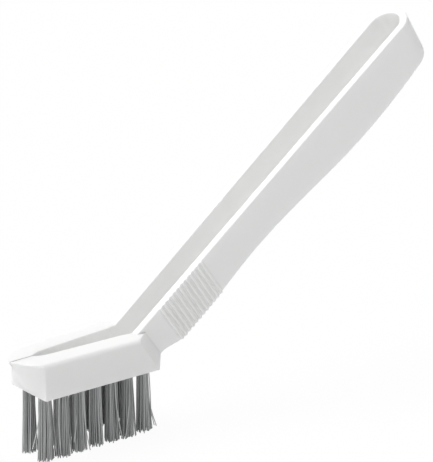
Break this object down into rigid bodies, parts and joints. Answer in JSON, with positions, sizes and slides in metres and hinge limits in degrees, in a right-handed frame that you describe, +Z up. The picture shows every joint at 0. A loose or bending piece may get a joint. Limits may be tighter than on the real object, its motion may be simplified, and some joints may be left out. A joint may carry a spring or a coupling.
{
  "type": "crevice brush",
  "caption": "Hand brush with a flat hairpin handle bent up from a narrow head that has a pointed beak and two rows of filament tufts.",
  "frame": {"origin": "On the plane of the filament tips, under the middle of the whole brush", "axes": "+X from the beak towards the round end of the handle, +Z up from the tips through the head, the two sides mirror in Y"},
  "size_m": [0.203, 0.0272, 0.1429],
  "materials": {
    "moulding": "satin",
    "filament": "satin",
    "anchor": "drawn"
  },
  "bodies": {
    "root": {"body": "moulding", "near_tuft_1": "filament", "near_tuft_2": "filament", "near_tuft_3": "filament", "near_tuft_4": "filament", "near_tuft_5": "filament", "near_tuft_6": "filament", "near_tuft_7": "filament", "far_tuft_1": "filament", "far_tuft_2": "filament", "far_tuft_3": "filament", "far_tuft_4": "filament", "far_tuft_5": "filament", "far_tuft_6": "filament", "far_tuft_7": "filament", "near_anchors": "anchor", "far_anchors": "anchor"}
  },
  "joints": []
}
